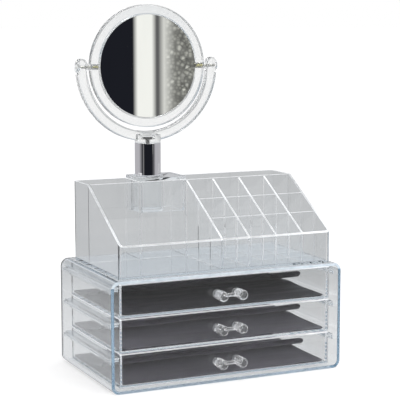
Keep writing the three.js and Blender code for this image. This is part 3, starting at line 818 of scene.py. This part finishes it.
def make_tray_shell():
    low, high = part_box("tray_shell")
    shell = rounded_block("tray_shell_moulded", low, high, TRAY_CORNER, "z", 10)
    slope_top = Vector((0, high.y - CROSS_WALL_BACK, high.z))
    slope_front = Vector((0, low.y, low.z + TRAY_FRONT_HEIGHT))
    run = slope_top - slope_front
    upward = Vector((0, -run.z, run.y)).normalized()
    bpy.ops.object.mode_set(mode="EDIT")
    bpy.ops.mesh.select_all(action="SELECT")
    bpy.ops.mesh.bisect(plane_co=slope_front, plane_no=upward, use_fill=True, clear_outer=True)
    bpy.ops.object.mode_set(mode="OBJECT")
    inset = Vector((TRAY_WALL, TRAY_WALL, 0))
    hollow = rounded_block("hollow", low + inset + Vector((0, 0, TRAY_FLOOR)),
                           high - inset + Vector((0, 0, OVERRUN)), TRAY_CORNER - TRAY_WALL, "z", 8)
    joined(shell, hollow, "DIFFERENCE")
    round_edges(shell, MOULD_EDGE)
    place(shell, "tray_shell")


# Mirror stand

def make_post():
    node = "mirror_post"
    low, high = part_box(node)
    outer = (high.x - low.x) / 2
    post = tube(node + "_plated", outer - POST_WALL, outer, low.z, high.z, upright_axis(node), "z",
                RING_STEPS)
    round_edges(post, THIN_EDGE, 3)
    place(post, node)


def rounded_section(inner, outer, half_depth, edge, steps=4):
    """Corner-rounded section of a band as (radius, height) points, from its inner side round."""
    corners = ((outer - edge, -half_depth + edge, -90), (outer - edge, half_depth - edge, 0),
               (inner + edge, half_depth - edge, 90), (inner + edge, -half_depth + edge, 180))
    points = []
    for radius, height, start in corners:
        for step in range(steps + 1):
            turn = math.radians(start + 90 * step / steps)
            points.append((radius + edge * math.cos(turn), height + edge * math.sin(turn)))
    return points


def make_yoke():
    """A half ring carried up to two round ears, with the boss that sits on the post below it."""
    node = "mirror_yoke"
    low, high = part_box(node)
    frame_low, frame_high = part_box("mirror_frame")
    pivot = middle_of("mirror_frame")
    post_low, post_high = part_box("mirror_post")
    boss_radius = (post_high.x - post_low.x) / 2
    outer = math.hypot((high.x - low.x) / 2, EAR_SEAT_REACH)
    inner = (frame_high.x - frame_low.x) / 2 + YOKE_SPACE
    band = (outer - inner) / 2
    ear_centre_z = high.z - band
    section = rounded_section(inner, outer, YOKE_HALF_DEPTH, YOKE_SECTION_EDGE)
    arch = turned(node + "_moulded", [*section, section[0]], pivot, "y", RING_STEPS // 2, -math.pi)
    bpy.ops.object.mode_set(mode="EDIT")
    bpy.ops.mesh.select_mode(type="EDGE")
    bpy.ops.mesh.select_all(action="DESELECT")
    bpy.ops.mesh.select_non_manifold()
    bpy.ops.mesh.extrude_region_move(TRANSFORM_OT_translate={"value": (0, 0, ear_centre_z - pivot.z)})
    for side in (-1, 1):
        bpy.ops.mesh.select_all(action="DESELECT")
        bpy.ops.object.mode_set(mode="OBJECT")
        points = arch.data.vertices
        for edge in arch.data.edges:
            ends = [points[index].co for index in edge.vertices]
            at_tip = min(end.z for end in ends) > ear_centre_z - MERGE
            edge.select = at_tip and side * (ends[0].x - pivot.x) > 0
        bpy.ops.object.mode_set(mode="EDIT")
        bpy.ops.mesh.edge_face_add()
    bpy.ops.mesh.select_all(action="SELECT")
    bpy.ops.mesh.normals_make_consistent(inside=False)
    bpy.ops.object.mode_set(mode="OBJECT")
    ear_section = rounded_section(-band, band, YOKE_HALF_DEPTH, YOKE_SECTION_EDGE)
    rim = [(radius, height) for radius, height in ear_section if radius > 0]
    disc = [(0, -YOKE_HALF_DEPTH), *rim, (0, YOKE_HALF_DEPTH)]
    for side in (-1, 1):
        ear_centre = Vector((pivot.x + side * (inner + band), pivot.y, ear_centre_z))
        joined(arch, turned("ear", disc, ear_centre, "y", TURN_STEPS))
        near, far = sorted((side * (outer - EAR_SEAT_DEPTH), side * (outer + OVERRUN)))
        seat = block("seat", pivot + Vector((near, -SEAT_HALF_DEPTH, -EAR_SEAT_REACH)),
                     pivot + Vector((far, SEAT_HALF_DEPTH, EAR_SEAT_REACH)))
        joined(arch, seat, "DIFFERENCE")
        near, far = sorted((side * (inner - OVERRUN), side * (outer + OVERRUN)))
        joined(arch, rod("pivot_hole", SCREW_BORE, near, far, pivot, "x", HOLE_STEPS), "DIFFERENCE")
    below = Vector((pivot.x, pivot.y, low.z))
    boss = [(0, 0), (boss_radius, 0), (boss_radius, BOSS_HEIGHT - BOSS_RIM),
            (boss_radius - BOSS_RIM * 0.3, BOSS_HEIGHT - BOSS_RIM * 0.3),
            (boss_radius - BOSS_RIM, BOSS_HEIGHT), (0, BOSS_HEIGHT)]
    joined(arch, turned("boss", boss, below, "z", RING_STEPS))
    head_top = STUD_RISE + STUD_HEAD_HEIGHT + FIT
    stud_hole = [(0, -OVERRUN), (STUD_BORE, -OVERRUN), (STUD_BORE, STUD_RISE - FIT),
                 (STUD_HEAD_BORE, STUD_RISE - FIT), (STUD_HEAD_BORE, head_top), (0, head_top)]
    joined(arch, turned("stud_hole", stud_hole, below, "z", TURN_STEPS), "DIFFERENCE")
    even_shading(arch, TURNED_SHADE_FROM)
    place(arch, node)


def make_mirror():
    """The frame ring with a web between its two seats, and a silvered glass in each."""
    low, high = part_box("mirror_frame")
    middle = middle_of("mirror_frame")
    outer = (high.x - low.x) / 2
    face = (high.y - low.y) / 2
    glass_low, glass_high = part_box("mirror_glass_front")
    glass_radius = (glass_high.x - glass_low.x) / 2
    recess = glass_radius + GLASS_RECESS
    web = WEB_THICKNESS / 2
    ring = turned("mirror_frame_moulded", [
        (recess, -face), (outer, -face), (outer, face), (recess, face), (recess, web),
        (glass_radius - WEB_REACH, web), (glass_radius - WEB_REACH, -web), (recess, -web),
        (recess, -face)], middle, "y", RING_STEPS)
    round_edges(ring, RING_EDGE, 4)
    for side in (-1, 1):
        start, end = sorted((side * (recess + INSERT_COVER), side * (outer + OVERRUN)))
        joined(ring, rod("insert_bore", INSERT_BORE, start, end, middle, "x", HOLE_STEPS), "DIFFERENCE")
    even_shading(ring, TURNED_SHADE_FROM)
    place(ring, "mirror_frame")
    for name in ("mirror_glass_front", "mirror_glass_back"):
        low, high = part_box(name)
        thick = (high.y - low.y) / 2
        glass = rod(name + "_silvered", glass_radius, -thick, thick, middle_of(name), "y", RING_STEPS)
        round_edges(glass, THIN_EDGE)
        place(glass, name)


def make_pivots():
    """A domed knob, a spacer, a brass insert and a screw on each side of the mirror."""
    middle = middle_of("mirror_frame")
    for side, side_name in ((-1, "left"), (1, "right")):
        node = "pivot_knob_" + side_name
        low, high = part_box(node)
        radius = (high.z - low.z) / 2
        seat = low.x if side > 0 else high.x
        thick = high.x - low.x
        steps = [math.pi / 2 * step / DOME_STEPS for step in range(DOME_STEPS + 1)]
        dome = [(radius - KNOB_DOME + KNOB_DOME * math.cos(turn),
                 side * (thick - KNOB_DOME + KNOB_DOME * math.sin(turn))) for turn in steps]
        centre = Vector((seat, middle.y, middle.z))
        outline = [(0, 0), (radius, 0), *dome, (0, side * thick)]
        knob = turned(node + "_moulded", outline, centre, "x", TURN_STEPS)
        even_shading(knob, TURNED_SHADE_FROM)
        place(knob, node)
        for kind, edge in (("spacer", THIN_EDGE), ("insert", FASTENER_EDGE), ("screw", FASTENER_EDGE)):
            node = f"pivot_{kind}_{side_name}"
            low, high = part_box(node)
            radius = (high.z - low.z) / 2
            ends = (low.x - middle.x, high.x - middle.x)
            if kind == "screw":
                piece = rod(node + "_turned", radius, *ends, middle, "x")
            else:
                piece = tube(node + "_turned", SCREW_BORE, radius, *ends, middle, "x")
            round_edges(piece, edge)
            place(piece, node)


def make_clips():
    for level in LEVELS:
        for side_name in SIDES:
            node = f"handle_clip_{level}_{side_name}"
            low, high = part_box(node)
            thick = (high.y - low.y) / 2
            radius = (high.x - low.x) / 2
            clip = tube(node + "_moulded", PIN_RADIUS + FIT, radius, -thick, thick, middle_of(node),
                        "y", CLIP_STEPS)
            round_edges(clip, THIN_EDGE)
            place(clip, node)


def make_foot_plug():
    node = "post_foot_plug"
    low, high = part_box(node)
    radius = (high.x - low.x) / 2
    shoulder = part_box("mirror_post")[0].z - FIT
    neck = radius - PLUG_STEP
    outline = [(0, low.z), (radius, low.z), (radius, shoulder), (neck, shoulder), (neck, high.z),
               (0, high.z)]
    plug = turned(node + "_moulded", outline, upright_axis(node), "z")
    round_edges(plug, THIN_EDGE)
    place(plug, node)


make_casing()
for level in LEVELS:
    softened("drawer_" + level, THIN_EDGE)
    for side_name in SIDES:
        softened(f"guide_rail_{level}_{side_name}", THIN_EDGE)
    make_handle(level)
    make_mat(level)
make_tray_shell()
flat_walls = ["tray_cross_wall", "bay_wall_left", "bay_wall_right"]
flat_walls += [f"cell_partition_{column}" for column in range(1, 5)]
flat_walls += [f"cell_cross_partition_{row}" for row in range(1, 3)]
for wall in flat_walls:
    softened(wall, THIN_EDGE)
softened("socket_block", MOULD_EDGE)
make_post()
make_yoke()
make_mirror()
make_pivots()
make_clips()
make_foot_plug()
for node in ("post_top_plug", "yoke_stud"):
    frame["nodes"][node].data.materials.clear()
    frame["nodes"][node].data.materials.append(MATERIALS[SLOTS[node]])


# Stage, light and camera

WHITE = (1, 1, 1, 1)
BLACK = (0, 0, 0, 1)
SIDE_LIGHT = (0.95, 0.95, 0.96)
FRONT_LIGHT = (1.6, 1.6, 1.62)
SOFTBOX = {"location": (0.3, -0.5, 2.2), "aim": (0, 0, 0.15), "size": (1.6, 1.2), "power": 14}
FLOOR_SIZE = 60
NEAREST_SEEN = 0.1
FARTHEST_SEEN = 60

# Share of the floor's paleness that is its own, seen through plastic and straight from the camera
LEVEL_SHARE = 0.85
CAMERA_LEVEL_SHARE = 0.5

# The table that shows through clear plastic, from near the camera to far away, in metres
TABLE_NEAR = (0.84, 0.845, 0.85)
TABLE_MIDDLE = (0.70, 0.705, 0.71)
TABLE_FAR = (0.50, 0.51, 0.518)
TABLE_END = 3.6

# The window that the mirror looks at: its headings in degrees from the camera, and how low it goes
MIRROR_VIEW_START = 45.8
MIRROR_VIEW_END = 49.8
MIRROR_VIEW_LOWEST = -0.1

# Where its droplets begin, as a share of the view
DROPLETS_FROM = 0.68
DROPLETS_RISE = 5.0
DROPLET_SCALE = 380

# The room that polished metal sees
DARK_ROOM = (0.012, 0.013, 0.018)
PALE_WALL = (0.5, 0.5, 0.52)
DIM_WALL = (0.15, 0.15, 0.16)
LAMP_GLEAM = (0.3, 0.3, 0.3)
WINDOW = (0.95, 0.95, 0.9)
WINDOW_BAR = (0.12, 0.12, 0.12)
CURTAIN = (0.7, 0.7, 0.66)
WET_WALL = (0.26, 0.26, 0.24)


def make_floor():
    """A white floor that takes the shadow; behind clear plastic it reads as a pale grey table."""
    deselect()
    bpy.ops.mesh.primitive_plane_add(size=FLOOR_SIZE, location=(0, 0, 0))
    floor = bpy.context.active_object
    floor.name = "floor"
    material, tree, shader = new_material("pale_floor")
    position = add_node(tree, "ShaderNodeNewGeometry").outputs["Position"]
    away = add_node(tree, "ShaderNodeVectorMath", operation="DISTANCE")
    away.inputs[1].default_value = (CAMERA_PLACE.x, CAMERA_PLACE.y, 0)
    tree.links.new(position, away.inputs[0])
    reach = math_node(tree, "DIVIDE", away.outputs["Value"], TABLE_END)
    table = ramp_node(tree, reach, [(0.39, TABLE_NEAR), (0.47, TABLE_MIDDLE), (0.54, TABLE_FAR),
                                     (0.82, TABLE_FAR), (1.0, grey(1))])
    light_path = add_node(tree, "ShaderNodeLightPath")
    through = math_node(tree, "GREATER_THAN", light_path.outputs["Transmission Depth"], 0.5)
    lit = mix_colour(tree, LEVEL_SHARE, table, BLACK)
    seen_lit = mix_colour(tree, CAMERA_LEVEL_SHARE, WHITE, BLACK)
    tree.links.new(mix_colour(tree, through, seen_lit, lit), shader.inputs["Base Color"])
    level = mix_colour(tree, LEVEL_SHARE, BLACK, table)
    seen_level = mix_colour(tree, CAMERA_LEVEL_SHARE, BLACK, WHITE)
    tree.links.new(mix_colour(tree, through, seen_level, level), shader.inputs["Emission Color"])
    shader.inputs["Emission Strength"].default_value = 1.0
    shader.inputs["Roughness"].default_value = 1
    shader.inputs["Specular IOR Level"].default_value = 0
    floor.data.materials.append(material)
    floor.visible_glossy = False


def heading_from_camera(tree, parts):
    """The compass heading of a direction, in degrees from the one in which the camera stands."""
    southwards = math_node(tree, "MULTIPLY", parts.outputs["Y"], -1)
    heading = math_node(tree, "ARCTAN2", parts.outputs["X"], southwards)
    return math_node(tree, "SUBTRACT", math_node(tree, "MULTIPLY", heading, 180 / math.pi), CAMERA_AZIMUTH)


def room_around(tree, from_camera):
    """Pale walls at the sides and a dark room behind the camera."""
    wrapped = math_node(tree, "WRAP", from_camera, 180.0)
    wrapped.node.inputs[2].default_value = -180.0
    share = math_node(tree, "ADD", math_node(tree, "DIVIDE", wrapped, 360.0), 0.5)

    def at(angle, colour):
        return angle / 360 + 0.5, colour

    return ramp_node(tree, share, [
        at(-180, PALE_WALL), at(-80, PALE_WALL), at(-55, DIM_WALL), at(-42, DARK_ROOM), at(-35, LAMP_GLEAM),
        at(-28, DARK_ROOM), at(40, DARK_ROOM), at(60, DIM_WALL), at(75, PALE_WALL), at(180, PALE_WALL)])


def window_droplets(tree, direction):
    """Round bright droplets, each with its own strength."""
    speckle = add_node(tree, "ShaderNodeTexVoronoi", feature="F1")
    speckle.inputs["Scale"].default_value = DROPLET_SCALE
    tree.links.new(direction, speckle.inputs["Vector"])
    drops = ramp_node(tree, speckle.outputs["Distance"], [
        (0.0, (1.5, 1.5, 1.45)), (0.32, (1.25, 1.25, 1.22)), (0.48, grey(0.8)), (0.8, grey(0.6))])
    each = add_node(tree, "ShaderNodeSeparateXYZ")
    tree.links.new(speckle.outputs["Color"], each.inputs["Vector"])
    own = ramp_node(tree, each.outputs["X"], [(0.0, grey(0.7)), (0.75, grey(1.15)), (1.0, grey(2))])
    return mix_colour(tree, 1.0, drops, own, "MULTIPLY")


def studio_by_heading(tree, direction):
    """What polished metal sees: the room, and a window's bands and droplets where the mirror looks."""
    parts = add_node(tree, "ShaderNodeSeparateXYZ")
    tree.links.new(direction, parts.inputs["Vector"])
    from_camera = heading_from_camera(tree, parts)
    span = math_node(tree, "SUBTRACT", from_camera, MIRROR_VIEW_START)
    across = math_node(tree, "DIVIDE", span, MIRROR_VIEW_END - MIRROR_VIEW_START)
    bands = ramp_node(tree, across, [
        (0.0, DARK_ROOM), (0.35, DARK_ROOM), (0.4, WINDOW), (0.55, WINDOW), (0.6, WINDOW_BAR),
        (0.62, WINDOW_BAR), (0.68, CURTAIN), (0.8, WET_WALL), (1.0, WET_WALL)])
    past_dry = math_node(tree, "SUBTRACT", across, DROPLETS_FROM)
    wetter = math_node(tree, "MULTIPLY", past_dry, DROPLETS_RISE, clamp=True)
    mottled = mix_colour(tree, wetter, bands, window_droplets(tree, direction), "MULTIPLY")
    past_start = math_node(tree, "GREATER_THAN", across, 0)
    before_end = math_node(tree, "LESS_THAN", across, 1)
    above = math_node(tree, "GREATER_THAN", parts.outputs["Z"], MIRROR_VIEW_LOWEST)
    inside = math_node(tree, "MULTIPLY", math_node(tree, "MULTIPLY", past_start, before_end), above)
    return mix_colour(tree, inside, room_around(tree, from_camera), mottled)


def studio_by_height(tree, direction):
    """What clear plastic sees: a pale ceiling over greyer walls."""
    parts = add_node(tree, "ShaderNodeSeparateXYZ")
    tree.links.new(direction, parts.inputs["Vector"])
    share = math_node(tree, "ADD", math_node(tree, "MULTIPLY", parts.outputs["Z"], 0.5), 0.5)
    return ramp_node(tree, share, [
        (0.0, (0.6, 0.62, 0.64)), (0.47, (0.9, 0.91, 0.92)), (0.55, (0.8, 0.82, 0.84)),
        (0.62, (0.42, 0.48, 0.54)), (0.72, (0.5, 0.55, 0.6)), (0.8, grey(1)), (1.0, grey(1))])


def studio_on_matt(tree, direction):
    """What lights cloth, milky plastic and floor: pale all round, brighter from the camera's side."""
    towards = add_node(tree, "ShaderNodeVectorMath", operation="DOT_PRODUCT")
    tree.links.new(direction, towards.inputs[0])
    towards.inputs[1].default_value = CAMERA_PLACE.normalized()
    share = math_node(tree, "ADD", math_node(tree, "MULTIPLY", towards.outputs["Value"], 0.5), 0.5)
    return ramp_node(tree, share, [(0.6, SIDE_LIGHT), (0.9, FRONT_LIGHT)])


def make_world():
    world = bpy.data.worlds.new("studio")
    scene.world = world
    world.use_nodes = True
    tree = world.node_tree
    back = tree.nodes["Background"]
    direction = add_node(tree, "ShaderNodeTexCoord").outputs["Generated"]
    light_path = add_node(tree, "ShaderNodeLightPath")
    through = math_node(tree, "GREATER_THAN", light_path.outputs["Transmission Depth"], 0.5)
    scattered = math_node(tree, "GREATER_THAN", light_path.outputs["Diffuse Depth"], 0.5)
    glossy = light_path.outputs["Is Glossy Ray"]
    mirrored = mix_colour(tree, glossy, WHITE, studio_by_heading(tree, direction))
    refracted = mix_colour(tree, through, mirrored, studio_by_height(tree, direction))
    spread = mix_colour(tree, scattered, refracted, studio_on_matt(tree, direction))
    shown = mix_colour(tree, light_path.outputs["Is Camera Ray"], spread, WHITE)
    tree.links.new(shown, back.inputs["Color"])
    back.inputs["Strength"].default_value = 1.0


def make_lamp(name, location, aim, size, power):
    data = bpy.data.lights.new(name, "AREA")
    data.shape = "RECTANGLE"
    data.size, data.size_y = size
    data.energy = power
    lamp = bpy.data.objects.new(name, data)
    scene.collection.objects.link(lamp)
    lamp.location = location
    lamp.rotation_mode = "QUATERNION"
    lamp.rotation_quaternion = (Vector(aim) - Vector(location)).to_track_quat("-Z", "Y")


def make_camera():
    data = bpy.data.cameras.new("camera")
    camera = bpy.data.objects.new("camera", data)
    scene.collection.objects.link(camera)
    scene.camera = camera
    azimuth = math.radians(CAMERA_AZIMUTH)
    elevation = math.radians(CAMERA_ELEVATION)
    back = Vector((math.sin(azimuth) * math.cos(elevation), -math.cos(azimuth) * math.cos(elevation),
                   math.sin(elevation)))
    camera.location = CAMERA_PLACE
    camera.rotation_mode = "QUATERNION"
    camera.rotation_quaternion = back.to_track_quat("Z", "Y")
    data.lens = CAMERA_LENS
    data.sensor_width = CAMERA_SENSOR
    data.shift_x = CAMERA_SHIFT_X
    data.shift_y = CAMERA_SHIFT_Y
    data.clip_start = NEAREST_SEEN
    data.clip_end = FARTHEST_SEEN


make_floor()
make_world()
make_lamp("top_softbox", **SOFTBOX)
make_camera()
